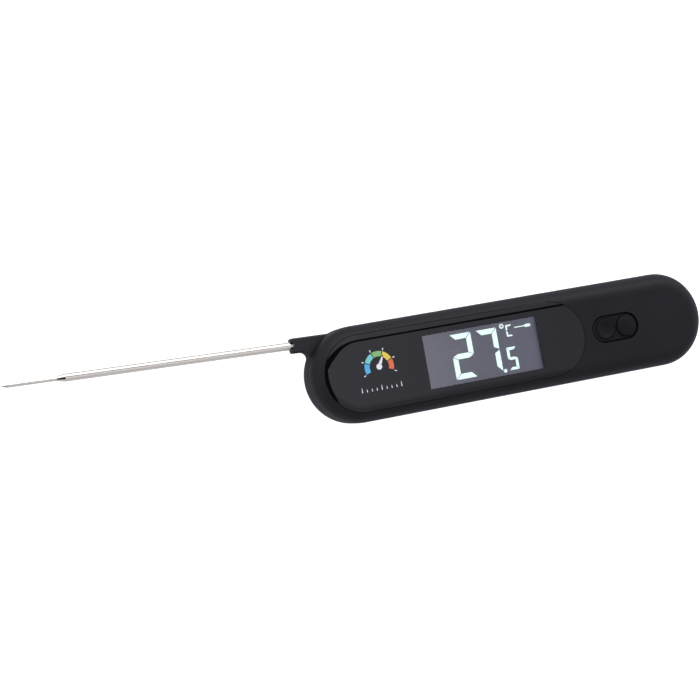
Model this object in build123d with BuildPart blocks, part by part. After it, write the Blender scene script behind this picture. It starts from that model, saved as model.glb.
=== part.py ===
"""Folding pocket meat thermometer with a lit display, two keys and a stowable needle probe.

The thermometer lies on its back: +X runs along the body from the hinge end to the key end, +Z points
out of the display, and the origin is the centre of the flat back face. The probe is unfolded, reaching
past the hinge end towards -X; it folds half a turn into the long groove in the -Y side.
"""
from build123d import *
from math import cos, radians, sin
import os

# ---------------------------------------------------------------- driving dimensions, millimetres
# body
body_length = 167.0
body_width = 37.0
body_height = 18.5
front_rounding = 6.5
back_rounding = 4.2
wall = 1.8
back_floor = 2.0
end_radius = body_width / 2
pivot_x = end_radius - body_length / 2

# probe arm, a disc between the two shells that carries the needle
arm_thickness = 4.6
arm_height = 5.4
arm_tilt = 1.85
hub_radius = end_radius - 0.1
hub_gap = 0.3
arm_outer = 17.0
arm_inner = 11.2
arm_reach = 22.6
arm_root_fillet = 2.5
arm_edge_fillet = 0.8
bore_radius = 4.0
trunnion_radius = 6.0
trunnion_height = 0.9
running_fit = 0.06
slot_floor = arm_height - arm_thickness / 2 - hub_gap
slot_roof = arm_height + arm_thickness / 2 + hub_gap
slot_end_x = pivot_x + 7.0

# needle probe
probe_offset = 14.2
shaft_radius = 1.5
shaft_bore = 1.15
shaft_root = 8.0
neck_radius = 1.3
neck_bore = 0.95
neck_length = 1.0
shaft_end = 108.4
step_end = 111.4
tip_radius = 0.8
tip_bore = 0.55
tip_taper_start = 129.2
probe_end = 131.6
bead_radius = 0.45
bead_at = tip_taper_start - 1.1
potting_length = 8.0
lead_radius = 0.17
lead_spacing = 0.28

# stow groove for the folded needle
groove_floor_y = -11.4
groove_half_height = 2.5
groove_end_x = 67.5
groove_wall = 1.6
cavity_low_y = groove_floor_y + groove_wall

# parting plane and inside heights
split_height = arm_height
roof_over_groove = arm_height + groove_half_height + 1.2
hub_plate_top = slot_roof + 1.8
lens_seat = 16.1
lens_floor_bottom = 14.7
key_ceiling = 16.3
hub_wall = 1.6
cavity_start_x = -49.0

# window lens and display
lens_left = -79.6
lens_right = 28.8
lens_width = 29.2
lens_gap = 0.2
mask_thickness = 0.2
window_x = -14.7
window_y = -0.4
window_length = 48.4
window_height = 20.5
glass_length = 53.0
glass_low_y = -12.0
glass_high_y = 13.4
glass_bottom = 14.1
glass_top = 15.9
segment_depth = 0.1
guide_bottom = 11.4

# circuit board
board_bottom = 9.8
board_top = 10.8
board_left = -43.6
board_right = 66.0
board_low_y = cavity_low_y + 0.3
board_high_y = 16.2

# keys
pad_x = 42.8
pad_length = 20.5
pad_width = 10.8
pad_gap = 0.4
pad_top = 17.9
pad_shoulder = 16.2
pad_bottom = 14.9
left_key_x = 38.7
right_key_x = 47.8
left_key_radius = 4.0
right_key_radius = 4.2
key_lip = 0.3
key_gap = 0.15
key_travel = 0.6
key_skirt_top = 14.7
key_skirt_bottom = 14.0
switch_top = 12.6
plunger_top = key_skirt_bottom - 0.05
dish_radius = 8.0
dome_radius = 16.0
dome_top = 19.3

# battery and its door
door_x = 44.0
door_y = 2.2
cell_radius = 10.0
cell_bottom = 3.3
cell_thickness = 3.2
door_radius = 11.8
door_recess = 0.15
door_flange_top = 1.2
throat_radius = 10.9
throat_top = 2.45
lug_radius = 11.8
lug_cavity_radius = 12.1
lug_cavity_top = 3.2
door_boss_radius = 13.4
pocket_top = 5.2
lug_angle = 36.0
door_turn = 60.0

# fasteners and magnets
shell_screw_spots = [(-45.3, 13.0), (16.5, 12.9), (17.5, -5.6), (74.5, 7.5), (74.5, -7.5)]
board_screw_spots = [(25.5, 12.6), (61.0, 12.6), (61.0, -5.8)]
front_boss_radius = 2.8
back_boss_radius = 3.2
screw_shank = 0.95
screw_pilot = 1.0
screw_clearance = 1.3
screw_head = 2.1
head_recess = 2.4
magnet_spots = [(-27.0, 2.0), (4.0, 2.0)]
magnet_radius = 5.0
magnet_height = 2.0
magnet_base = 0.8
axle_post_radius = 2.6
axle_seat = 1.7
hinge_head_seat = 1.0

os.makedirs("parts", exist_ok=True)


def level(height):
    """Horizontal plane at a height above the back face."""
    return Plane.XY.offset(height)


def arm_level(height):
    """Horizontal plane on the hinge axis whose X runs along the unfolded probe and Y towards the body."""
    direction = (-cos(radians(arm_tilt)), sin(radians(arm_tilt)), 0)
    return Plane(origin=(pivot_x, 0, height), x_dir=direction, z_dir=(0, 0, 1))


def stadium(inset):
    """Body outline in plan, moved in by an inset."""
    with BuildSketch() as outline:
        SlotOverall(body_length - 2 * inset, body_width - 2 * inset)
    return outline.sketch


def lens_outline(growth):
    """Window lens outline in plan, moved out by a growth."""
    with BuildSketch() as outline:
        with Locations(((lens_left + lens_right) / 2, 0)):
            SlotOverall(lens_right - lens_left + 2 * growth, lens_width + 2 * growth)
    return outline.sketch


def pad_outline(growth):
    """Key pad outline in plan, moved out by a growth."""
    with BuildSketch() as outline:
        with Locations((pad_x, 0)):
            SlotOverall(pad_length + 2 * growth, pad_width + 2 * growth)
    return outline.sketch


def arm_pocket(clearance):
    """Hub disc and folded arm in plan: the space that the probe arm takes between the shells."""
    with BuildSketch() as pocket:
        with Locations((pivot_x, 0)):
            Circle(hub_radius + clearance)
        with BuildSketch(mode=Mode.PRIVATE) as arm:
            with Locations((pivot_x, -arm_inner + clearance)):
                Rectangle(arm_reach + clearance + 0.2, body_width, align=(Align.MIN, Align.MAX))
        add(arm.sketch)
        corner = pocket.vertices().filter_by(lambda v: v.X > pivot_x and abs(v.Y + arm_inner - clearance) < 0.01)
        fillet(corner.sort_by(Axis.X)[0], arm_root_fillet - clearance)
    return pocket.sketch


def room_plan():
    """Electronics room in plan, between the hub wall, the groove wall and the side walls."""
    with BuildSketch() as room:
        add(stadium(wall))
        with Locations((pivot_x, 0)):
            Circle(hub_radius + hub_gap + hub_wall, mode=Mode.SUBTRACT)
        with Locations((cavity_start_x, 0)):
            Rectangle(body_length, body_width, align=(Align.MAX, Align.CENTER), mode=Mode.SUBTRACT)
        with Locations((0, cavity_low_y)):
            Rectangle(body_length, body_width, align=(Align.CENTER, Align.MAX), mode=Mode.SUBTRACT)
    return room.sketch


# Whole outer body, rounded more at the front than at the back; the shells and the lens are cut from it.
with BuildPart() as body_block:
    with BuildSketch():
        add(stadium(0))
    extrude(amount=body_height)
    fillet(body_block.edges().group_by(Axis.Z)[-1], front_rounding)
    fillet(body_block.edges().group_by(Axis.Z)[0], back_rounding)

# Space kept clear for the hub, the folded arm and the folded needle; open to the -Y side.
with BuildPart() as probe_space:
    with BuildSketch(level(slot_floor)):
        add(arm_pocket(hub_gap))
        with Locations((slot_end_x, 0)):
            Rectangle(body_length, body_width + 2, align=(Align.MAX, Align.CENTER))
    extrude(amount=slot_roof - slot_floor)
    with BuildSketch(level(arm_height - groove_half_height)):
        with Locations((pivot_x, groove_floor_y)):
            Rectangle(groove_end_x - pivot_x, body_width, align=(Align.MIN, Align.MAX))
    extrude(amount=2 * groove_half_height)

# ---------------------------------------------------------------- front shell
with BuildPart() as front_shell:
    add(body_block)
    split(bisect_by=level(split_height), keep=Keep.TOP)
    # electronics room beside the groove, then over it, then over the hub, then under the keys
    with BuildSketch(level(split_height)):
        add(room_plan())
    extrude(amount=roof_over_groove - split_height, mode=Mode.SUBTRACT)
    with BuildSketch(level(roof_over_groove)):
        add(stadium(wall))
        with Locations((cavity_start_x, 0)):
            Rectangle(body_length, body_width, align=(Align.MAX, Align.CENTER), mode=Mode.SUBTRACT)
        with Locations((pivot_x, 0)):
            Circle(hub_radius + hub_gap + hub_wall, mode=Mode.SUBTRACT)
    extrude(amount=hub_plate_top - roof_over_groove, mode=Mode.SUBTRACT)
    with BuildSketch(level(hub_plate_top)):
        add(stadium(wall))
    extrude(amount=lens_floor_bottom - hub_plate_top, mode=Mode.SUBTRACT)
    with BuildSketch(level(lens_floor_bottom)):
        add(stadium(wall + 2.6))
        with Locations((lens_right + 2.2, 0)):
            Rectangle(body_length, body_width, align=(Align.MAX, Align.CENTER), mode=Mode.SUBTRACT)
    extrude(amount=key_ceiling - lens_floor_bottom, mode=Mode.SUBTRACT)
    # lens pocket, opening behind the lens over the hub, and opening for the display glass
    with BuildSketch(level(lens_seat)):
        add(lens_outline(lens_gap))
    extrude(amount=body_height - lens_seat, mode=Mode.SUBTRACT)
    with BuildSketch(level(lens_floor_bottom)):
        with Locations((pivot_x, 0)):
            Circle(12.0)
        with Locations((window_x, (glass_low_y + glass_high_y) / 2)):
            Rectangle(glass_length + 0.6, glass_high_y - glass_low_y + 0.4)
    extrude(amount=lens_seat - lens_floor_bottom, mode=Mode.SUBTRACT)
    # key opening
    with BuildSketch(level(key_ceiling - 1)):
        add(pad_outline(0))
    extrude(amount=body_height - key_ceiling + 1, mode=Mode.SUBTRACT)
    # bosses that take the shell screws, and posts that carry the circuit board
    with BuildSketch(level(split_height)):
        with Locations(*shell_screw_spots):
            Circle(front_boss_radius)
    extrude(amount=lens_seat - split_height)
    with BuildSketch(level(lens_floor_bottom)):
        with Locations(*[spot for spot in shell_screw_spots if spot[0] > lens_right]):
            Circle(front_boss_radius)
    extrude(amount=key_ceiling - lens_floor_bottom)
    with BuildSketch(level(board_top)):
        with Locations(*board_screw_spots):
            Circle(1.9)
    extrude(amount=key_ceiling - board_top)
    with BuildSketch(level(split_height)):
        with Locations(*shell_screw_spots):
            Circle(screw_pilot)
    extrude(amount=6.0, mode=Mode.SUBTRACT)
    with BuildSketch(level(board_top)):
        with Locations(*board_screw_spots):
            Circle(0.8)
    extrude(amount=4.0, mode=Mode.SUBTRACT)
    # slot and groove for the probe, with the seat of the upper trunnion and the seal groove
    add(probe_space, mode=Mode.SUBTRACT)
    with BuildSketch(level(slot_roof)):
        with Locations((pivot_x, 0)):
            Circle(trunnion_radius + running_fit)
    extrude(amount=trunnion_height, mode=Mode.SUBTRACT)
    with BuildSketch(level(slot_roof)):
        with Locations((pivot_x, 0)):
            Circle(8.2)
            Circle(7.2, mode=Mode.SUBTRACT)
    extrude(amount=0.6, mode=Mode.SUBTRACT)
    # post down the hinge axis for the hinge screw, and the hole that lets the leads up beside it
    with BuildSketch(level(axle_seat)):
        with Locations((pivot_x, 0)):
            Circle(axle_post_radius)
    extrude(amount=hub_plate_top - axle_seat)
    with BuildSketch(level(axle_seat)):
        with Locations((pivot_x, 0)):
            Circle(screw_pilot)
    extrude(amount=7.4, mode=Mode.SUBTRACT)
    with BuildSketch(level(slot_roof)):
        with Locations((pivot_x + 3.3, 0)):
            Circle(0.6)
    extrude(amount=3.0, mode=Mode.SUBTRACT)
front_shell.part.label = "front_shell"

# ---------------------------------------------------------------- back shell
with BuildPart() as back_shell:
    add(body_block)
    split(bisect_by=level(split_height), keep=Keep.BOTTOM)
    with BuildSketch(level(back_floor)):
        add(room_plan())
    extrude(amount=split_height - back_floor, mode=Mode.SUBTRACT)
    # battery pocket: a round boss, the throat for the door plug, and the ring where its lugs turn
    with BuildSketch(level(back_floor)):
        with Locations((door_x, door_y)):
            Circle(door_boss_radius)
    extrude(amount=pocket_top - back_floor)
    with BuildSketch(Plane.XY):
        with Locations((door_x, door_y)):
            Circle(door_radius + 0.2)
    extrude(amount=door_flange_top + 0.05, mode=Mode.SUBTRACT)
    with BuildSketch(Plane.XY):
        with Locations((door_x, door_y)):
            Circle(throat_radius)
    extrude(amount=throat_top, mode=Mode.SUBTRACT)
    with BuildSketch(level(throat_top)):
        with Locations((door_x, door_y)):
            Circle(lug_cavity_radius)
    extrude(amount=lug_cavity_top + 0.1 - throat_top, mode=Mode.SUBTRACT)
    with BuildSketch(level(lug_cavity_top)):
        with Locations((door_x, door_y)):
            Circle(cell_radius + 0.25)
    extrude(amount=pocket_top - lug_cavity_top, mode=Mode.SUBTRACT)
    with BuildSketch(Plane.XY):
        with Locations((door_x, door_y)):
            with PolarLocations(0, 2, start_angle=90 - door_turn):
                Rectangle(lug_cavity_radius, 8.4, align=(Align.MIN, Align.CENTER))
    extrude(amount=throat_top, mode=Mode.SUBTRACT)
    with BuildSketch(level(lug_cavity_top)):
        with Locations((door_x, door_y + cell_radius)):
            Rectangle(5.0, 5.0, align=(Align.CENTER, Align.CENTER))
    extrude(amount=pocket_top - lug_cavity_top, mode=Mode.SUBTRACT)
    # bosses round the shell screws
    with BuildSketch(level(back_floor)):
        with Locations(*shell_screw_spots):
            Circle(back_boss_radius)
    extrude(amount=split_height - back_floor)
    with BuildSketch(Plane.XY):
        with Locations(*shell_screw_spots):
            Circle(screw_clearance)
    extrude(amount=split_height, mode=Mode.SUBTRACT)
    with BuildSketch(Plane.XY):
        with Locations(*shell_screw_spots):
            Circle(head_recess)
    extrude(amount=back_floor, mode=Mode.SUBTRACT)
    # rings that hold the magnets against the inside of the back face
    with BuildSketch(level(back_floor)):
        with Locations(*magnet_spots):
            Circle(magnet_radius + 1.2)
    extrude(amount=1.0)
    with BuildSketch(level(magnet_base)):
        with Locations(*magnet_spots):
            Circle(magnet_radius + 0.1)
    extrude(amount=3.0, mode=Mode.SUBTRACT)
    # slot and groove for the probe
    add(probe_space, mode=Mode.SUBTRACT)
    # hinge seat: trunnion bore, foot of the axle post, screw hole, head recess and moulding relief
    with BuildSketch(level(slot_floor)):
        with Locations((pivot_x, 0)):
            Circle(trunnion_radius + running_fit)
    extrude(amount=-(trunnion_height - 0.2), mode=Mode.SUBTRACT)
    with BuildSketch(level(axle_seat)):
        with Locations((pivot_x, 0)):
            Circle(axle_post_radius + 0.1)
    extrude(amount=slot_floor - axle_seat, mode=Mode.SUBTRACT)
    with BuildSketch(Plane.XY):
        with Locations((pivot_x, 0)):
            Circle(screw_clearance)
    extrude(amount=axle_seat, mode=Mode.SUBTRACT)
    with BuildSketch(Plane.XY):
        with Locations((pivot_x, 0)):
            Circle(head_recess)
    extrude(amount=hinge_head_seat, mode=Mode.SUBTRACT)
    with BuildSketch(level(back_floor)):
        with Locations((pivot_x, 0)):
            Circle(15.2)
            Circle(9.4, mode=Mode.SUBTRACT)
            with PolarLocations(0, 3, start_angle=30):
                Rectangle(40, 1.4, mode=Mode.SUBTRACT)
    extrude(amount=slot_floor - back_floor, mode=Mode.SUBTRACT)
    # groove for the gasket round the electronics room
    with BuildSketch(level(split_height - 0.6)):
        offset(room_plan(), 0.9)
        offset(room_plan(), 0.3, mode=Mode.SUBTRACT)
    extrude(amount=0.6, mode=Mode.SUBTRACT)
back_shell.part.label = "back_shell"

with BuildPart() as shell_gasket:
    with BuildSketch(level(split_height - 0.6)):
        offset(room_plan(), 0.85)
        offset(room_plan(), 0.35, mode=Mode.SUBTRACT)
    extrude(amount=0.6)
shell_gasket.part.label = "shell_gasket"

# ---------------------------------------------------------------- window and display
with BuildPart() as window_lens:
    with BuildSketch(level(lens_seat + mask_thickness)):
        add(lens_outline(0))
    extrude(amount=body_height)
    add(body_block, mode=Mode.INTERSECT)
window_lens.part.label = "window_lens"

with BuildPart() as lens_mask:
    with BuildSketch(level(lens_seat)):
        add(lens_outline(-0.1))
        with Locations((window_x, window_y)):
            Rectangle(window_length, window_height, mode=Mode.SUBTRACT)
    extrude(amount=mask_thickness)
lens_mask.part.label = "lens_mask"

with BuildPart() as lcd_glass:
    with BuildSketch(level(glass_bottom)):
        with Locations((window_x, (glass_low_y + glass_high_y) / 2)):
            Rectangle(glass_length, glass_high_y - glass_low_y)
    extrude(amount=(glass_top - glass_bottom) / 2)
    with BuildSketch(level((glass_bottom + glass_top) / 2)):
        with Locations((window_x, (glass_low_y + 11.6) / 2)):
            Rectangle(glass_length, 11.6 - glass_low_y)
    extrude(amount=(glass_top - glass_bottom) / 2)
lcd_glass.part.label = "lcd_glass"


def digit(left, bottom, width, height, stroke, lit):
    """Seven-segment figure with mitred joints; lit names its segments: t top, ul upper left, m middle ..."""
    gap = 0.12 * stroke
    x0, x1 = left, left + width
    y0, y1 = bottom, bottom + height
    middle = bottom + height / 2
    half = stroke / 2
    shapes = {
        "t": [(x0, y1), (x1, y1), (x1 - stroke, y1 - stroke), (x0 + stroke, y1 - stroke)],
        "b": [(x0, y0), (x1, y0), (x1 - stroke, y0 + stroke), (x0 + stroke, y0 + stroke)],
        "ul": [(x0, y1), (x0 + stroke, y1 - stroke), (x0 + stroke, middle + half), (x0, middle)],
        "ur": [(x1, y1), (x1 - stroke, y1 - stroke), (x1 - stroke, middle + half), (x1, middle)],
        "ll": [(x0, y0), (x0 + stroke, y0 + stroke), (x0 + stroke, middle - half), (x0, middle)],
        "lr": [(x1, y0), (x1 - stroke, y0 + stroke), (x1 - stroke, middle - half), (x1, middle)],
        "m": [(x0, middle), (x0 + stroke, middle + half), (x1 - stroke, middle + half), (x1, middle),
              (x1 - stroke, middle - half), (x0 + stroke, middle - half)],
    }
    for name in lit:
        with BuildSketch(mode=Mode.PRIVATE) as segment:
            Polygon(*shapes[name], align=None)
            offset(amount=-gap / 2, kind=Kind.INTERSECTION)
        add(segment.sketch)


# Lit segments of the reading: two large figures, a point, a smaller tenth, the degree mark and the scale.
with BuildPart() as lcd_segments:
    with BuildSketch(level(glass_top)):
        digit(-27.3, -9.15, 9.1, 17.65, 2.3, ("t", "ur", "m", "ll", "b"))
        digit(-16.2, -9.0, 8.9, 17.4, 2.3, ("t", "ur", "lr"))
        with Locations((-6.45, -8.95)):
            Circle(0.7)
        digit(-4.6, -9.15, 4.25, 9.0, 1.2, ("t", "ul", "m", "lr", "b"))
        with Locations((-4.95, 8.3)):
            Circle(0.95)
            Circle(0.45, mode=Mode.SUBTRACT)
        digit(-3.35, 3.85, 2.7, 4.65, 0.72, ("t", "ul", "ll", "b"))
        # sign for a probe: a slim needle with a handle at its end
        with Locations((2.6, 7.0)):
            Rectangle(4.4, 0.35)
        with Locations((6.0, 7.0)):
            SlotOverall(2.6, 1.1)
    extrude(amount=segment_depth)
lcd_segments.part.label = "lcd_segments"

with BuildPart() as light_guide:
    with BuildSketch(level(guide_bottom)):
        with Locations((window_x, -0.2)):
            RectangleRounded(glass_length - 1.4, 22.8, 0.8)
    extrude(amount=glass_bottom - 0.1 - guide_bottom)
light_guide.part.label = "light_guide"

with BuildPart() as backlight_leds:
    with BuildSketch(level(board_top)):
        with Locations((window_x + glass_length / 2 + 0.6, -5.0), (window_x + glass_length / 2 + 0.6, 5.0)):
            Rectangle(1.2, 3.4)
    extrude(amount=2.2)
backlight_leds.part.label = "backlight_leds"

with BuildPart() as zebra_strip:
    with BuildSketch(level(board_top)):
        with Locations((window_x, 12.6)):
            Rectangle(glass_length - 5, 1.3)
    extrude(amount=glass_bottom - board_top)
zebra_strip.part.label = "zebra_strip"

# ---------------------------------------------------------------- circuit board and what stands on it
with BuildPart() as circuit_board:
    with BuildSketch(level(board_bottom)):
        with Locations(((board_left + board_right) / 2, (board_low_y + board_high_y) / 2)):
            Rectangle(board_right - board_left, board_high_y - board_low_y)
        with Locations((pivot_x, 0)):
            Circle(hub_radius + hub_gap + hub_wall + 0.4, mode=Mode.SUBTRACT)
        with Locations(*shell_screw_spots):
            Circle(front_boss_radius + 0.6, mode=Mode.SUBTRACT)
        with Locations(*board_screw_spots):
            Circle(0.9, mode=Mode.SUBTRACT)
    extrude(amount=board_top - board_bottom)
circuit_board.part.label = "circuit_board"

with BuildPart() as board_screws:
    with BuildSketch(level(board_bottom - 1.0)):
        with Locations(*board_screw_spots):
            Circle(1.7)
            with PolarLocations(0, 2):
                Rectangle(2.0, 0.4, mode=Mode.SUBTRACT)
    extrude(amount=1.0)
    with BuildSketch(level(board_bottom - 0.4)):
        with Locations(*board_screw_spots):
            Circle(0.75)
    extrude(amount=4.4)
board_screws.part.label = "board_screws"

with BuildPart() as chips:
    with BuildSketch(level(board_bottom)):
        with Locations((-12.0, 3.0)):
            Rectangle(7.0, 7.0)
        with Locations((8.0, 8.0)):
            Rectangle(4.9, 3.9)
    extrude(amount=-0.9)
    chamfer(chips.faces().sort_by(Axis.Z)[0:2].edges(), 0.15)
chips.part.label = "chips"

with BuildPart() as chip_capacitors:
    with BuildSketch(level(board_bottom)):
        with Locations((-12.0, -3.0)):
            with GridLocations(3.0, 0, 4, 1):
                Rectangle(1.6, 0.8)
        with Locations((2.0, 8.0)):
            with GridLocations(0, 2.0, 1, 3):
                Rectangle(1.6, 0.8)
    extrude(amount=-0.8)
chip_capacitors.part.label = "chip_capacitors"

with BuildPart() as crystal:
    with BuildSketch(level(board_bottom)):
        with Locations((-20.0, 5.0)):
            RectangleRounded(3.2, 1.5, 0.3)
    extrude(amount=-0.9)
crystal.part.label = "crystal"

# Magnetic switch at the hinge end: it wakes the thermometer when the magnet in the hub passes.
with BuildPart() as fold_sensor:
    with BuildSketch(level(board_bottom)):
        with Locations((-40.5, 4.0)):
            Rectangle(2.9, 1.6)
    extrude(amount=-1.1)
fold_sensor.part.label = "fold_sensor"

with BuildPart() as key_switches:
    with BuildSketch(level(board_top)):
        with Locations((left_key_x, 0), (right_key_x, 0)):
            RectangleRounded(6.0, 6.0, 0.5)
    extrude(amount=switch_top - board_top)
    with BuildSketch(level(switch_top)):
        with Locations((left_key_x, 0), (right_key_x, 0)):
            Circle(1.45)
    extrude(amount=-1.2, mode=Mode.SUBTRACT)
key_switches.part.label = "key_switches"

# ---------------------------------------------------------------- key pad
with BuildPart() as key_bed:
    with BuildSketch(level(pad_bottom)):
        add(pad_outline(1.3))
    extrude(amount=pad_shoulder - pad_bottom)
    with BuildSketch(level(pad_shoulder)):
        add(pad_outline(-pad_gap))
    extrude(amount=pad_top - pad_shoulder)
    fillet(key_bed.faces().sort_by(Axis.Z)[-1].edges(), 0.3)
    with BuildSketch(level(pad_bottom)):
        with Locations((left_key_x, 0)):
            Circle(left_key_radius + key_gap)
        with Locations((right_key_x, 0)):
            Circle(right_key_radius + key_gap)
    extrude(amount=body_height, mode=Mode.SUBTRACT)
key_bed.part.label = "key_bed"


def key_blank(x, radius, top):
    """Round key: a cap over a wider skirt that keeps it in the pad, and a foot that meets the switch plunger."""
    with BuildPart() as blank:
        with BuildSketch(level(plunger_top)):
            with Locations((x, 0)):
                Circle(1.6)
        extrude(amount=key_skirt_top - plunger_top)
        with BuildSketch(level(key_skirt_bottom)):
            with Locations((x, 0)):
                Circle(radius + key_lip)
        extrude(amount=key_skirt_top - key_skirt_bottom)
        with BuildSketch(level(key_skirt_top)):
            with Locations((x, 0)):
                Circle(radius)
        extrude(amount=top - key_skirt_top)
    return blank.part


# Left key: a flat rim round a thumb dish.
with BuildPart() as left_key:
    add(key_blank(left_key_x, left_key_radius, 18.2))
    fillet(left_key.edges().group_by(Axis.Z)[-1], 0.25)
    with Locations((left_key_x, 0, 17.5 + dish_radius)):
        Sphere(dish_radius, mode=Mode.SUBTRACT)
left_key.part.label = "left_key"

# Right key: a low dome standing proud of the pad.
with BuildPart() as right_key:
    add(key_blank(right_key_x, right_key_radius, dome_top))
    with Locations((right_key_x, 0, dome_top - dome_radius)):
        Sphere(dome_radius, mode=Mode.INTERSECT)
    rims = right_key.edges().filter_by(GeomType.CIRCLE).filter_by(lambda e: abs(e.radius - right_key_radius) < 0.01)
    fillet(rims.sort_by(Axis.Z)[-1], 0.4)
right_key.part.label = "right_key"


def plunger(x):
    """Round plunger of one key switch, pressed by the key above it."""
    with BuildPart() as stub:
        with BuildSketch(level(switch_top - 0.4)):
            with Locations((x, 0)):
                Circle(1.2)
        extrude(amount=plunger_top - switch_top + 0.4)
    return stub.part


left_plunger = plunger(left_key_x)
left_plunger.label = "left_plunger"
right_plunger = plunger(right_key_x)
right_plunger.label = "right_plunger"

# ---------------------------------------------------------------- battery and its door
with BuildPart() as button_cell:
    with BuildSketch(level(cell_bottom)):
        with Locations((door_x, door_y)):
            Circle(cell_radius)
    extrude(amount=cell_thickness - 0.2)
    fillet(button_cell.edges(), 0.4)
    with BuildSketch(level(cell_bottom + cell_thickness - 0.2)):
        with Locations((door_x, door_y)):
            Circle(cell_radius - 1.5)
    extrude(amount=0.2)
button_cell.part.label = "button_cell"

# Sprung leaf that presses on the middle of the cell.
with BuildPart() as cell_spring:
    with BuildSketch(Plane.XZ.offset(-door_y)):
        with BuildLine():
            leaf_top = board_bottom - 0.15
            leaf_low = cell_bottom + cell_thickness + 0.15
            Polyline((door_x + 9.5, leaf_top), (door_x + 6.0, leaf_top), (door_x + 1.5, leaf_low),
                     (door_x - 2.0, leaf_low), (door_x - 3.5, leaf_low + 0.8))
        trace(line_width=0.3)
    extrude(amount=1.6, both=True)
cell_spring.part.label = "cell_spring"

# Clip that touches the rim of the cell.
with BuildPart() as cell_clip:
    with BuildSketch(Plane.YZ.offset(door_x)):
        with BuildLine():
            clip_y = door_y + cell_radius + 0.2
            Polyline((clip_y, lug_cavity_top + 0.6), (clip_y, board_bottom - 0.15), (clip_y + 2.6, board_bottom - 0.15))
        trace(line_width=0.3)
    extrude(amount=1.8, both=True)
cell_clip.part.label = "cell_clip"

# Round door: flange flush with the back, coin slot, plug with a groove for the seal, and two lugs.
with BuildPart() as battery_door:
    with BuildSketch(level(door_recess)):
        with Locations((door_x, door_y)):
            Circle(door_radius)
    extrude(amount=door_flange_top - door_recess)
    fillet(battery_door.edges().group_by(Axis.Z)[0], 0.3)
    with BuildSketch(level(door_flange_top)):
        with Locations((door_x, door_y)):
            Circle(throat_radius - 0.2)
    extrude(amount=lug_cavity_top - 0.05 - door_flange_top)
    with BuildSketch(level(throat_top + 0.1)):
        with BuildSketch(mode=Mode.PRIVATE) as wedge:
            Polygon((0, 0), (15, -15 * sin(radians(lug_angle / 2))), (15, 15 * sin(radians(lug_angle / 2))), align=None)
        with Locations((door_x, door_y)):
            with PolarLocations(0, 2, start_angle=90):
                add(wedge.sketch)
            Circle(lug_radius, mode=Mode.INTERSECT)
    extrude(amount=lug_cavity_top - 0.05 - throat_top - 0.1)
    with BuildSketch(level(door_flange_top + 0.3)):
        with Locations((door_x, door_y)):
            Circle(throat_radius)
            Circle(throat_radius - 0.8, mode=Mode.SUBTRACT)
    extrude(amount=0.8, mode=Mode.SUBTRACT)
    with BuildSketch(level(door_flange_top + 0.2)):
        with Locations((door_x, door_y)):
            Circle(throat_radius - 1.9)
    extrude(amount=body_height, mode=Mode.SUBTRACT)
    with BuildSketch(level(door_recess)):
        with Locations((door_x, door_y)):
            SlotOverall(14.0, 1.9)
    extrude(amount=0.7, mode=Mode.SUBTRACT)
battery_door.part.label = "battery_door"

with BuildPart() as door_seal:
    with BuildSketch(Plane.XZ):
        with Locations((throat_radius - 0.4, door_flange_top + 0.7)):
            Circle(0.35)
    revolve(axis=Axis.Z)
door_seal = door_seal.part.moved(Location((door_x, door_y, 0)))
door_seal.label = "door_seal"

# ---------------------------------------------------------------- magnets and fasteners
with BuildPart() as back_magnets:
    with BuildSketch(level(magnet_base)):
        with Locations(*magnet_spots):
            Circle(magnet_radius)
    extrude(amount=magnet_height)
    chamfer(back_magnets.edges(), 0.2)
back_magnets.part.label = "back_magnets"

with BuildPart() as shell_screws:
    with BuildSketch(level(0.3)):
        with Locations(*shell_screw_spots):
            Circle(screw_head)
    extrude(amount=back_floor - 0.3)
    fillet(shell_screws.edges().group_by(Axis.Z)[0], 0.5)
    with BuildSketch(level(back_floor)):
        with Locations(*shell_screw_spots):
            Circle(screw_shank)
    extrude(amount=9.0)
    with BuildSketch(level(0.3)):
        with Locations(*shell_screw_spots):
            Rectangle(2.4, 0.6)
            Rectangle(0.6, 2.4)
    extrude(amount=0.9, mode=Mode.SUBTRACT)
shell_screws.part.label = "shell_screws"

with BuildPart() as hinge_screw:
    with BuildSketch(level(0.3)):
        with Locations((pivot_x, 0)):
            Circle(screw_head)
    extrude(amount=hinge_head_seat - 0.3)
    fillet(hinge_screw.edges().group_by(Axis.Z)[0], 0.4)
    with BuildSketch(level(hinge_head_seat)):
        with Locations((pivot_x, 0)):
            Circle(screw_shank)
    extrude(amount=8.0)
    with BuildSketch(level(0.3)):
        with Locations((pivot_x, 0)):
            Rectangle(2.4, 0.6)
            Rectangle(0.6, 2.4)
    extrude(amount=0.4, mode=Mode.SUBTRACT)
hinge_screw.part.label = "hinge_screw"

# ---------------------------------------------------------------- hinge washer and seal
with BuildPart() as friction_washer:
    with BuildSketch(level(slot_floor)):
        with Locations((pivot_x, 0)):
            Circle(8.8)
            Circle(6.4, mode=Mode.SUBTRACT)
    extrude(amount=hub_gap - 0.05)
friction_washer.part.label = "friction_washer"

with BuildPart() as hub_seal:
    with BuildSketch(Plane.XZ):
        with Locations((7.7, slot_roof + 0.14)):
            Circle(0.42)
    revolve(axis=Axis.Z)
hub_seal = hub_seal.part.moved(Location((pivot_x, 0, 0)))
hub_seal.label = "hub_seal"

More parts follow.
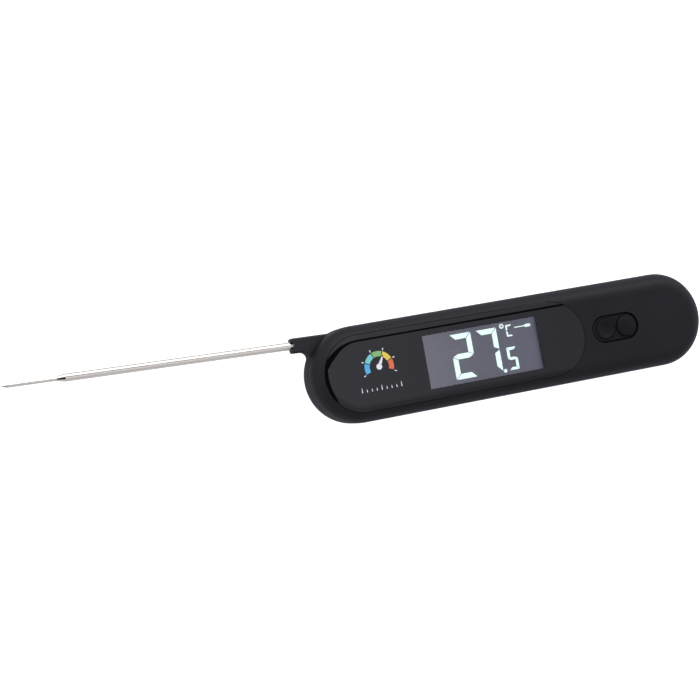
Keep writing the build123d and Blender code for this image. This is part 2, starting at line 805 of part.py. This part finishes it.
# ---------------------------------------------------------------- probe arm
hub_bottom = arm_height - arm_thickness / 2
hub_top = arm_height + arm_thickness / 2
with BuildPart() as probe_arm:
    with BuildSketch(arm_level(hub_bottom)) as arm_plan:
        Circle(hub_radius)
        with Locations((0, -arm_inner)):
            Rectangle(arm_reach, arm_outer - arm_inner, align=(Align.MIN, Align.MAX))
        root = arm_plan.vertices().filter_by(lambda v: abs(v.Y + arm_inner) < 0.01).sort_by(Axis.X)
        fillet([v for v in root if 1 < v.X < arm_reach - 1], arm_root_fillet)
        fillet(arm_plan.vertices().filter_by(lambda v: v.X > arm_reach - 0.05), arm_edge_fillet + 0.1)
    extrude(amount=arm_thickness)
    fillet(probe_arm.faces().filter_by(Axis.Z).edges(), arm_edge_fillet)
    # scooped end round the needle
    with BuildSketch(arm_level(hub_bottom)):
        with Locations((arm_reach + 0.3, -probe_offset - 0.2)):
            Circle(1.55)
    extrude(amount=arm_thickness, mode=Mode.SUBTRACT)
    # trunnion rings above and below, and the bore that the leads pass through
    with BuildSketch(arm_level(hub_bottom - trunnion_height)):
        Circle(trunnion_radius)
    extrude(amount=arm_thickness + 2 * trunnion_height)
    with BuildSketch(arm_level(hub_bottom - trunnion_height)):
        Circle(bore_radius)
    extrude(amount=arm_thickness + 2 * trunnion_height, mode=Mode.SUBTRACT)
    # coring from below and the pocket for the sensing magnet
    with BuildSketch(arm_level(hub_bottom)):
        for angle in (30, 75, 120, 215):
            with PolarLocations(12.3, 1, start_angle=angle):
                Circle(3.1)
    extrude(amount=2.6, mode=Mode.SUBTRACT)
    with BuildSketch(arm_level(hub_top)):
        with Locations((-14.5, 0)):
            Circle(2.1)
    extrude(amount=-2.2, mode=Mode.SUBTRACT)
    # bore for the needle and the channel for its leads
    needle_start = arm_level(arm_height).from_local_coords((arm_reach + 2, -probe_offset, 0))
    needle_root = arm_level(arm_height).from_local_coords((shaft_root - 1.6, -probe_offset, 0))
    channel_start = arm_level(arm_height).from_local_coords((7.6, -probe_offset, 0))
    channel_end = arm_level(arm_height).from_local_coords((2.0, -3.2, 0))
    with BuildSketch(Plane(origin=needle_start, z_dir=needle_root - needle_start)):
        Circle(shaft_radius + 0.05)
    extrude(amount=(needle_root - needle_start).length, mode=Mode.SUBTRACT)
    with BuildSketch(Plane(origin=channel_start, z_dir=channel_end - channel_start)):
        Circle(0.9)
    extrude(amount=(channel_end - channel_start).length, mode=Mode.SUBTRACT)
probe_arm.part.label = "probe_arm"

with BuildPart() as hub_magnet:
    with BuildSketch(arm_level(hub_top - 0.1)):
        with Locations((-14.5, 0)):
            Circle(2.0)
    extrude(amount=-2.0)
hub_magnet.part.label = "hub_magnet"

# ---------------------------------------------------------------- needle
# Its profile lies in the plane through the needle's axis; local X runs towards the tip. A rolled neck at the
# mouth of the arm keeps the shaft from pulling out.
needle_plane = Plane(
    origin=arm_level(arm_height).from_local_coords((0, -probe_offset, 0)),
    x_dir=arm_level(arm_height).x_dir,
    z_dir=arm_level(arm_height).z_dir,
)
needle_axis = Axis(needle_plane.origin, needle_plane.x_dir)

with BuildPart() as probe_shaft:
    with BuildSketch(needle_plane):
        with BuildLine():
            neck_start = arm_reach - neck_length
            Polyline((shaft_root, shaft_bore), (neck_start, shaft_bore), (neck_start, neck_bore),
                     (arm_reach, neck_bore), (arm_reach, shaft_bore), (shaft_end - 1.0, shaft_bore),
                     (step_end - 1.0, tip_radius + 0.02), (step_end, tip_radius + 0.02),
                     (step_end, tip_radius + 0.08), (shaft_end, shaft_radius), (arm_reach, shaft_radius),
                     (arm_reach, neck_radius), (neck_start, neck_radius), (neck_start, shaft_radius),
                     (shaft_root, shaft_radius), close=True)
        make_face()
    revolve(axis=needle_axis)
probe_shaft.part.label = "probe_shaft"

with BuildPart() as probe_tip:
    with BuildSketch(needle_plane):
        with BuildLine():
            Polyline((step_end - 4.0, tip_bore), (tip_taper_start, tip_bore), (tip_taper_start + 0.6, 0),
                     (probe_end, 0), (probe_end, 0.12), (tip_taper_start, tip_radius),
                     (step_end - 4.0, tip_radius), close=True)
        make_face()
    revolve(axis=needle_axis)
probe_tip.part.label = "probe_tip"

with BuildPart() as thermistor_bead:
    with Locations(needle_plane.from_local_coords((bead_at, 0, 0))):
        Sphere(bead_radius)
thermistor_bead.part.label = "thermistor_bead"

with BuildPart() as tip_potting:
    potting_start = needle_axis.position + needle_axis.direction * (bead_at - potting_length - 2.3)
    with BuildSketch(Plane(origin=potting_start, x_dir=(0, 0, 1), z_dir=needle_axis.direction)):
        Circle(tip_bore - 0.01)
        with Locations((lead_spacing, 0), (-lead_spacing, 0)):
            Circle(lead_radius + 0.01, mode=Mode.SUBTRACT)
    extrude(amount=potting_length)
tip_potting.part.label = "tip_potting"

with BuildPart() as probe_leads:
    for side in (-1, 1):
        with BuildLine(arm_level(arm_height + side * lead_spacing)) as lead_path:
            FilletPolyline((bead_at - bead_radius - 0.1, -probe_offset), (7.6, -probe_offset), (2.2, -3.2), radius=2.0)
        with BuildSketch(Plane(origin=lead_path.line @ 0, z_dir=lead_path.line % 0)):
            Circle(lead_radius)
        sweep(path=lead_path.line)
probe_leads.part.label = "probe_leads"

# Leads from the hinge bore, up through the hub plate and over to the circuit board.
with BuildPart() as body_leads:
    for side in (-1, 1):
        with BuildLine(Plane.XZ.offset(side * lead_spacing)) as lead_path:
            FilletPolyline((pivot_x + 3.3, slot_roof - 2.5), (pivot_x + 3.3, 13.4), (-42.5, 13.4), (-42.5, board_top),
                           radius=0.8)
        with BuildSketch(Plane(origin=lead_path.line @ 0, z_dir=lead_path.line % 0)):
            Circle(lead_radius)
        sweep(path=lead_path.line)
body_leads.part.label = "body_leads"

# ---------------------------------------------------------------- export
built = [
    front_shell, back_shell, shell_gasket, window_lens, lens_mask, lcd_glass, lcd_segments, light_guide,
    backlight_leds, zebra_strip, circuit_board, board_screws, chips, chip_capacitors, crystal, fold_sensor,
    key_switches, key_bed, button_cell, cell_spring, cell_clip, battery_door, back_magnets, shell_screws,
    hinge_screw, friction_washer, probe_arm, hub_magnet, probe_shaft, probe_tip, thermistor_bead, tip_potting,
    probe_leads, body_leads, left_key, right_key,
]
pieces = [item.part for item in built] + [left_plunger, right_plunger, door_seal, hub_seal]
for piece in pieces:
    export_step(piece, f"parts/{piece.label}.step")
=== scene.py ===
"""Looks of the folding meat thermometer: camera, studio light, floor and a procedural material for every piece."""
import math

import bmesh
import bpy
from mathutils import Matrix, Vector


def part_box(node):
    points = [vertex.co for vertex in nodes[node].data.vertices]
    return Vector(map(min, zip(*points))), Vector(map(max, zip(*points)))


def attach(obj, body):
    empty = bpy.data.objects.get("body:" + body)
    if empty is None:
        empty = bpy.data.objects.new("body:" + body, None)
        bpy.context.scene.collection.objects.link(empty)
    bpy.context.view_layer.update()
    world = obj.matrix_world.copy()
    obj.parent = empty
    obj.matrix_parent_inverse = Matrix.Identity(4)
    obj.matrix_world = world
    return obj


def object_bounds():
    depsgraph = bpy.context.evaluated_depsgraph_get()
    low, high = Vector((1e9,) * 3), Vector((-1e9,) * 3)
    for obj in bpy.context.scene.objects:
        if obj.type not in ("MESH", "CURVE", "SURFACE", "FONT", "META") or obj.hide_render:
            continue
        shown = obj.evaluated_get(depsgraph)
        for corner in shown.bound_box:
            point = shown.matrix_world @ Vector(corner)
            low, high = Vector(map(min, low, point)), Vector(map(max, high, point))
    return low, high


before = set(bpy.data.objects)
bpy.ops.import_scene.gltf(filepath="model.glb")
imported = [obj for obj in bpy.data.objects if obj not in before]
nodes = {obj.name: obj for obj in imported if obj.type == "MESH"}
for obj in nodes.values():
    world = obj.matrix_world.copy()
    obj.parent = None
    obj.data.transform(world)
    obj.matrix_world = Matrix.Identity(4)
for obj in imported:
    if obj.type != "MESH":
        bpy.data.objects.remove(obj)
cad_low, cad_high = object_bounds()
MM = 0.001
WINDOW_CENTRE = (-14.7, -0.4)
WINDOW_SIZE = (48.4, 20.5)
GAUGE_CENTRE = (-58.0, 1.4)
PRINT_LIFT = 0.002 * MM
PRINT_DEPTH = 0.02 * MM
COLOR_SPREAD = 0.08  # how far moulded plastic strays from its colour, lighter and darker
METAL_DEPTH = 0.0015 * MM  # how deep the lines in worked metal are
BAND_TURN = 45  # degrees from one band of the gauge to the next
BAND_SWEEP = 41  # degrees that one band covers
HUB_RADIUS = 1.15
NEEDLE_ANGLE = 62
NEEDLE_START = 1.2  # from the gauge centre, just outside the hub, as two prints of one height may not overlap
NEEDLE_LENGTH = 3.4
NEEDLE_WIDTH = 1.2
CARD_HEIGHT = 0.6
TIP_CARD_HEIGHT = 0.12
LENS_MM = 87.43
SENSOR_MM = 36.0


# ------------------------------------------------------------------ material helpers
class Look:
    """A material under construction: its node tree, its Principled shader and a few shorthand nodes."""

    def __init__(self, name, color, roughness, metallic=0.0):
        self.material = bpy.data.materials.new(name)
        self.material.use_nodes = True
        self.tree = self.material.node_tree
        self.shader = self.tree.nodes["Principled BSDF"]
        self.set("Base Color", (*color, 1.0))
        self.set("Roughness", roughness)
        self.set("Metallic", metallic)
        coordinates = self.tree.nodes.new("ShaderNodeTexCoord")
        self.place = coordinates.outputs["Object"]

    def set(self, socket, value):
        self.shader.inputs[socket].default_value = value

    def link(self, output, socket):
        self.tree.links.new(output, self.shader.inputs[socket])

    def scaled_place(self, scale):
        mapping = self.tree.nodes.new("ShaderNodeMapping")
        mapping.inputs["Scale"].default_value = scale
        self.tree.links.new(self.place, mapping.inputs["Vector"])
        return mapping.outputs["Vector"]

    def noise(self, scale, detail, place=None):
        node = self.tree.nodes.new("ShaderNodeTexNoise")
        node.inputs["Scale"].default_value = scale
        node.inputs["Detail"].default_value = detail
        self.tree.links.new(place or self.place, node.inputs["Vector"])
        return node.outputs["Fac"]

    def math(self, operation, first, second=0.0):
        node = self.tree.nodes.new("ShaderNodeMath")
        node.operation = operation
        for socket, value in zip(node.inputs, (first, second)):
            if isinstance(value, bpy.types.NodeSocket):
                self.tree.links.new(value, socket)
            else:
                socket.default_value = value
        return node.outputs[0]

    def inside(self, centre, size):
        """1 within an upright rectangle in plan, in millimetres, and 0 outside it."""
        apart = self.tree.nodes.new("ShaderNodeSeparateXYZ")
        self.tree.links.new(self.place, apart.inputs[0])
        tests = []
        for axis in (0, 1):
            distance = self.math("ABSOLUTE", self.math("SUBTRACT", apart.outputs[axis], centre[axis] * MM))
            tests.append(self.math("LESS_THAN", distance, size[axis] / 2 * MM))
        return self.math("MULTIPLY", *tests)

    def remap(self, value, low, high, start=0.3, stop=0.7):
        node = self.tree.nodes.new("ShaderNodeMapRange")
        node.inputs["From Min"].default_value = start
        node.inputs["From Max"].default_value = stop
        node.inputs["To Min"].default_value = low
        node.inputs["To Max"].default_value = high
        self.tree.links.new(value, node.inputs["Value"])
        return node.outputs["Result"]

    def ramp(self, value, stops):
        node = self.tree.nodes.new("ShaderNodeValToRGB")
        ramp = node.color_ramp
        ramp.elements[0].position, ramp.elements[0].color = stops[0][0], (*stops[0][1], 1.0)
        ramp.elements[1].position, ramp.elements[1].color = stops[-1][0], (*stops[-1][1], 1.0)
        for position, color in stops[1:-1]:
            ramp.elements.new(position).color = (*color, 1.0)
        self.tree.links.new(value, node.inputs["Fac"])
        return node.outputs["Color"]

    def bump(self, height, distance):
        node = self.tree.nodes.new("ShaderNodeBump")
        node.inputs["Distance"].default_value = distance
        node.inputs["Strength"].default_value = 1.0
        self.tree.links.new(height, node.inputs["Height"])
        self.link(node.outputs["Normal"], "Normal")


def moulded(name, color, roughness, grain=0.012):
    """Moulded plastic or rubber: fine grain in the surface, slight unevenness in colour and gloss."""
    look = Look(name, color, roughness)
    fine = look.noise(5200.0, 2.0)
    broad = look.noise(70.0, 4.0)
    light = tuple(min(1.0, c * (1 + COLOR_SPREAD)) for c in color)
    dark = tuple(c * (1 - COLOR_SPREAD) for c in color)
    look.link(look.ramp(broad, [(0.3, dark), (0.7, light)]), "Base Color")
    look.link(look.remap(broad, roughness - 0.03, roughness + 0.04), "Roughness")
    look.bump(fine, grain * MM)
    return look


def metal(name, color, roughness, along):
    """Worked metal: fine lines or specks in the surface and slightly uneven gloss."""
    look = Look(name, color, roughness, metallic=1.0)
    lines = look.noise(1.0, 3.0, look.scaled_place(along))
    look.link(look.remap(lines, roughness - 0.05, roughness + 0.06), "Roughness")
    look.link(look.ramp(lines, [(0.25, tuple(c * 0.94 for c in color)), (0.75, color)]), "Base Color")
    look.bump(lines, METAL_DEPTH)
    return look


def dress(look, *names):
    """Gives CAD nodes their material."""
    for name in names:
        mesh = nodes[name].data
        mesh.materials.clear()
        mesh.materials.append(look.material)


# ------------------------------------------------------------------ materials
shell = moulded("shell plastic", (0.0112, 0.0110, 0.0135), 0.44)
shell.set("IOR", 1.27)
dress(shell, "front_shell", "back_shell", "battery_door")
arm = moulded("arm plastic", (0.0235, 0.0230, 0.0255), 0.44)
arm.set("IOR", 1.3)
dress(arm, "probe_arm")
rubber = moulded("key rubber", (0.0076, 0.0076, 0.0096), 0.5, grain=0.02)
rubber.set("IOR", 1.22)
dress(rubber, "key_bed", "left_key", "right_key")
seal = moulded("seal silicone", (0.05, 0.05, 0.055), 0.6)
dress(seal, "shell_gasket", "zebra_strip", "door_seal", "hub_seal")

# The window is clear over the display and printed black behind everywhere else.
lens = Look("window acrylic", (0.003, 0.003, 0.0035), 0.015)
lens.set("IOR", 1.49)
clear = lens.inside(WINDOW_CENTRE, WINDOW_SIZE)
lens.link(clear, "Transmission Weight")
lens.link(lens.ramp(clear, [(0.0, (0.003, 0.003, 0.0035)), (1.0, (1.0, 1.0, 1.0))]), "Base Color")
lens.link(lens.remap(lens.noise(30.0, 2.0), 0.012, 0.022), "Roughness")
dress(lens, "window_lens")

mask = moulded("black print", (0.004, 0.004, 0.005), 0.5, grain=0.001)
dress(mask, "lens_mask")

# The display glows a little more at its left end and has a darker strip at its right end.
glass = Look("display glass", (0.04, 0.04, 0.045), 0.3)
glass_apart = glass.tree.nodes.new("ShaderNodeSeparateXYZ")
glass.tree.links.new(glass.place, glass_apart.inputs[0])
window_left, window_right = (WINDOW_CENTRE[0] + side * WINDOW_SIZE[0] / 2 for side in (-1, 1))
glow = glass.remap(glass_apart.outputs[0], 0.0, 1.0, window_left * MM, window_right * MM)
glass.link(glass.ramp(glow, [
    (0.0, (0.080, 0.080, 0.105)), (0.5, (0.048, 0.046, 0.070)),
    (0.965, (0.047, 0.051, 0.080)), (0.98, (0.034, 0.038, 0.064)),
]), "Emission Color")
glass.set("Emission Strength", 1.0)
glass.link(glass.remap(glass.noise(28.0, 2.0), 0.27, 0.34), "Roughness")
dress(glass, "lcd_glass")
segments = Look("lit segments", (0.5, 0.6, 0.58), 0.4)
lit = segments.noise(90.0, 2.0)
segments.link(segments.ramp(lit, [(0.3, (0.74, 0.95, 0.88)), (0.7, (0.78, 0.98, 0.92))]), "Emission Color")
segments.set("Emission Strength", 0.9)
dress(segments, "lcd_segments")

guide = moulded("white diffuser", (0.8, 0.81, 0.82), 0.4)
dress(guide, "light_guide", "backlight_leds")
board = moulded("board laminate", (0.015, 0.13, 0.045), 0.35)
dress(board, "circuit_board")
epoxy = moulded("chip epoxy", (0.02, 0.02, 0.02), 0.5)
dress(epoxy, "chips", "fold_sensor", "key_switches", "left_plunger", "right_plunger")
ceramic = moulded("ceramic", (0.4, 0.28, 0.16), 0.5)
dress(ceramic, "chip_capacitors")
plated = metal("plated steel", (0.5, 0.5, 0.51), 0.32, (3000, 3000, 3000))
dress(plated, "board_screws", "shell_screws", "hinge_screw", "friction_washer", "crystal")
nickel = metal("nickel plate", (0.66, 0.64, 0.6), 0.2, (900, 900, 900))
dress(nickel, "button_cell", "cell_spring", "cell_clip", "back_magnets", "hub_magnet")
stainless = metal("stainless tube", (0.94, 0.875, 0.76), 0.2, (60, 2500, 2500))
dress(stainless, "probe_shaft", "probe_tip")
resin = moulded("amber resin", (0.25, 0.1, 0.04), 0.3)
dress(resin, "thermistor_bead", "tip_potting")
enamel = moulded("wire enamel", (0.4, 0.05, 0.03), 0.35)
dress(enamel, "probe_leads", "body_leads")


# ------------------------------------------------------------------ print on the window
def printed(name, color, outline):
    """A flat printed shape, one thin layer on the window face, from its outline in millimetres."""
    bm = bmesh.new()
    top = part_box("window_lens")[1].z
    corners = [bm.verts.new((x * MM, y * MM, top + PRINT_LIFT)) for x, y in outline]
    face = bm.faces.new(corners)
    face.normal_update()
    if face.normal.z < 0:
        face.normal_flip()
    lifted = bmesh.ops.extrude_face_region(bm, geom=[face])
    for item in lifted["geom"]:
        if isinstance(item, bmesh.types.BMVert):
            item.co.z += PRINT_DEPTH
    bmesh.ops.recalc_face_normals(bm, faces=bm.faces)
    mesh = bpy.data.meshes.new(name)
    bm.to_mesh(mesh)
    bm.free()
    piece = bpy.data.objects.new(name, mesh)
    bpy.context.scene.collection.objects.link(piece)
    mesh.materials.append(print_look(color).material)
    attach(piece, "housing")


def print_look(color):
    """Glossy ink of one colour, slightly uneven."""
    name = "ink %.2f %.2f %.2f" % color
    if name in inks:
        return inks[name]
    look = Look(name, color, 0.05)
    uneven = look.noise(200.0, 2.0)
    look.link(look.ramp(uneven, [(0.3, tuple(c * 0.94 for c in color)), (0.7, color)]), "Base Color")
    inks[name] = look
    return look


def ring_part(start, stop, inner, outer, steps=12):
    """Outline of a piece of a ring between two angles, in degrees, about the gauge centre."""
    angles = [math.radians(start + (stop - start) * i / steps) for i in range(steps + 1)]
    cx, cy = GAUGE_CENTRE
    out = [(cx + outer * math.cos(a), cy + outer * math.sin(a)) for a in angles]
    back = [(cx + inner * math.cos(a), cy + inner * math.sin(a)) for a in reversed(angles)]
    return out + back


def disc(radius, steps=36):
    """Outline of a disc about the gauge centre."""
    angles = [2 * math.pi * i / steps for i in range(steps)]
    return [(GAUGE_CENTRE[0] + radius * math.cos(a), GAUGE_CENTRE[1] + radius * math.sin(a)) for a in angles]


def bar_outline(x, y, length, width, angle):
    """Outline of a straight tapered bar that starts at x, y and runs at an angle in degrees."""
    a = math.radians(angle)
    along, across = (math.cos(a), math.sin(a)), (-math.sin(a) * width / 2, math.cos(a) * width / 2)
    ends = [(x, y), (x + length * along[0], y + length * along[1])]
    return [
        (ends[0][0] + across[0], ends[0][1] + across[1]),
        (ends[0][0] - across[0], ends[0][1] - across[1]),
        (ends[1][0] - across[0] * 0.3, ends[1][1] - across[1] * 0.3),
        (ends[1][0] + across[0] * 0.3, ends[1][1] + across[1] * 0.3),
    ]


inks = {}
white = (0.85, 0.86, 0.86)
bands = [(0.08, 0.45, 0.75), (0.2, 0.62, 0.6), (0.25, 0.5, 0.16), (0.85, 0.62, 0.08), (0.8, 0.16, 0.06)]
for i, color in enumerate(bands):
    start = 202 - i * BAND_TURN
    printed(f"gauge_band_{i}", color, ring_part(start, start - BAND_SWEEP, 3.9, 5.9))
for i in range(6):
    printed(f"gauge_tick_{i}", white, ring_part(204.5 - i * BAND_TURN, 201.5 - i * BAND_TURN, 6.3, 7.2, 2))
needle_turn = math.radians(NEEDLE_ANGLE)
needle_foot = (GAUGE_CENTRE[0] + NEEDLE_START * math.cos(needle_turn),
               GAUGE_CENTRE[1] + NEEDLE_START * math.sin(needle_turn))
printed("gauge_needle", white, bar_outline(*needle_foot, NEEDLE_LENGTH, NEEDLE_WIDTH, NEEDLE_ANGLE))
printed("gauge_hub", white, disc(HUB_RADIUS))
for i in range(9):
    height = 1.9 if i % 4 == 0 else 1.1
    printed(f"scale_tick_{i}", white, bar_outline(-66.4 + i * 2.0, -7.3, height, 0.42, 90))

# ------------------------------------------------------------------ floor
floor_mesh = bpy.data.meshes.new("floor")
floor_bm = bmesh.new()
bmesh.ops.create_grid(floor_bm, x_segments=4, y_segments=4, size=3.0)
floor_bm.to_mesh(floor_mesh)
floor_bm.free()
floor = bpy.data.objects.new("floor", floor_mesh)
bpy.context.scene.collection.objects.link(floor)
floor.location.z = cad_low.z - 0.02 * MM
floor_look = Look("floor paper", (0.66, 0.66, 0.66), 0.9)
floor_look.set("Specular IOR Level", 0.1)
paper = floor_look.noise(60.0, 3.0)
floor_look.link(floor_look.ramp(paper, [(0.3, (0.65, 0.65, 0.65)), (0.7, (0.67, 0.67, 0.67))]), "Base Color")
# The floor looks evenly white to the camera, without lighting the object any more than paper does.
ray = floor_look.tree.nodes.new("ShaderNodeLightPath")
floor_look.set("Emission Color", (1.0, 1.0, 1.0, 1.0))
floor_look.link(floor_look.math("MULTIPLY", ray.outputs["Is Camera Ray"], 0.9), "Emission Strength")
floor_mesh.materials.append(floor_look.material)

# ------------------------------------------------------------------ light
# White studio walls, dimmer to the right of the object and behind its near side.
world = bpy.data.worlds.new("studio")
bpy.context.scene.world = world
world.use_nodes = True
walls = world.node_tree
direction = walls.nodes.new("ShaderNodeTexCoord")
apart = walls.nodes.new("ShaderNodeSeparateXYZ")
walls.links.new(direction.outputs["Generated"], apart.inputs[0])


def wall_brightness(output, stops):
    """Brightness of the studio walls along one axis, from stops of direction and brightness."""
    scale = walls.nodes.new("ShaderNodeMapRange")
    scale.inputs["From Min"].default_value = -1.0
    walls.links.new(output, scale.inputs["Value"])
    node = walls.nodes.new("ShaderNodeValToRGB")
    ends = node.color_ramp.elements
    for element, (position, value) in zip(ends, (stops[0], stops[-1])):
        element.position, element.color = (position + 1) / 2, (value, value, value, 1.0)
    for position, value in stops[1:-1]:
        ends.new((position + 1) / 2).color = (value, value, value, 1.0)
    walls.links.new(scale.outputs["Result"], node.inputs["Fac"])
    return node.outputs["Color"]


across = wall_brightness(apart.outputs[0], [
    (-1, 1.15), (-0.4, 0.9), (-0.1, 0.97), (0.3, 0.99), (0.45, 0.65), (0.6, 0.74), (1, 0.9),
])
upright = wall_brightness(apart.outputs[1], [(-1, 0.5), (-0.35, 0.66), (-0.05, 1.0), (1, 1.1)])
blend = walls.nodes.new("ShaderNodeMath")
blend.operation = "MULTIPLY"
walls.links.new(across, blend.inputs[0])
walls.links.new(upright, blend.inputs[1])
walls.links.new(blend.outputs[0], walls.nodes["Background"].inputs["Strength"])
walls.nodes["Background"].inputs["Color"].default_value = (0.975, 0.985, 1.11, 1.0)


def soft_box(name, location, target, width, height, brightness):
    """Large rectangular studio lamp aimed at a point; brightness is relative to the white surround."""
    data = bpy.data.lights.new(name, "AREA")
    data.shape = "RECTANGLE"
    data.size = width
    data.size_y = height
    data.energy = brightness * math.pi * width * height
    lamp = bpy.data.objects.new(name, data)
    lamp.location = location
    lamp.rotation_mode = "QUATERNION"
    lamp.rotation_quaternion = (Vector(target) - Vector(location)).to_track_quat("-Z", "Y")
    bpy.context.scene.collection.objects.link(lamp)


def black_card(name, height, outline):
    """Black studio card above the object, seen only in reflections, that draws the dark lines in the gloss."""
    bm = bmesh.new()
    bm.faces.new([bm.verts.new((x, y, height)) for x, y in outline])
    mesh = bpy.data.meshes.new(name)
    bm.to_mesh(mesh)
    bm.free()
    card = bpy.data.objects.new(name, mesh)
    bpy.context.scene.collection.objects.link(card)
    look = Look(name, (0.004, 0.004, 0.004), 1.0)
    cloth = look.noise(40.0, 2.0)
    look.link(look.ramp(cloth, [(0.3, (0.004, 0.004, 0.004)), (0.7, (0.005, 0.005, 0.005))]), "Base Color")
    look.set("Specular IOR Level", 0.0)
    mesh.materials.append(look.material)
    card.visible_camera = False
    card.visible_diffuse = False
    card.visible_shadow = False


def bend(start, pull, end, steps=8):
    """Points of a smooth bend drawn towards a pull point, from start up to but not including end."""
    points = []
    for i in range(steps):
        t = i / steps
        points.append(tuple((1 - t) ** 2 * a + 2 * t * (1 - t) * b + t * t * c
                            for a, b, c in zip(start, pull, end)))
    return points


soft_box("rear box", (0.3, 1.4, 0.88), (0, 0, 0), 2.6, 0.6, 2.4)
# A broad arm to the right of the object and a narrow tail to its left, with smooth bends between them.
black_card("top card", CARD_HEIGHT, [
    (0.45, 0.025),
    *bend((0.14, 0.025), (0.08, 0.07), (-0.18, 0.08)),
    *bend((-0.18, 0.08), (-0.09, -0.05), (-0.22, -0.33)), (-0.22, -0.33),
    *bend((-0.30, -0.38), (-0.27, -0.02), (-0.45, 0.15)),
    *bend((-0.45, 0.15), (-0.20, 0.33), (0.02, 0.22)),
    *bend((0.02, 0.22), (0.10, 0.15), (0.22, 0.15)), (0.22, 0.15),
    (0.45, 0.16),
])
# Lower down and past the needle: it blackens the cone of the step and the point, as they face it.
black_card("tip card", TIP_CARD_HEIGHT, [(-0.275, -0.12), (-0.188, -0.12), (-0.188, 0.03), (-0.275, 0.03)])

# ------------------------------------------------------------------ camera
# Nearly straight above the face, turned so that the hinge end is the nearer one.
yaw, pitch, roll = math.radians(19.25), math.radians(-0.54), math.radians(10.23)
turn = Matrix.Rotation(roll, 3, "Z") @ Matrix.Rotation(pitch, 3, "X") @ Matrix.Rotation(yaw, 3, "Y")
offset = Vector((59.21 * MM, 0.69 * MM, -675.4 * MM))
camera_data = bpy.data.cameras.new("camera")
camera_data.sensor_width = SENSOR_MM
camera_data.lens = LENS_MM
camera_data.clip_start = 0.01
camera_data.clip_end = 20.0
camera = bpy.data.objects.new("camera", camera_data)
bpy.context.scene.collection.objects.link(camera)
camera.matrix_world = (Matrix.Translation(offset) @ turn.to_4x4()).inverted()
bpy.context.scene.camera = camera
bpy.context.scene.view_settings.view_transform = "Standard"
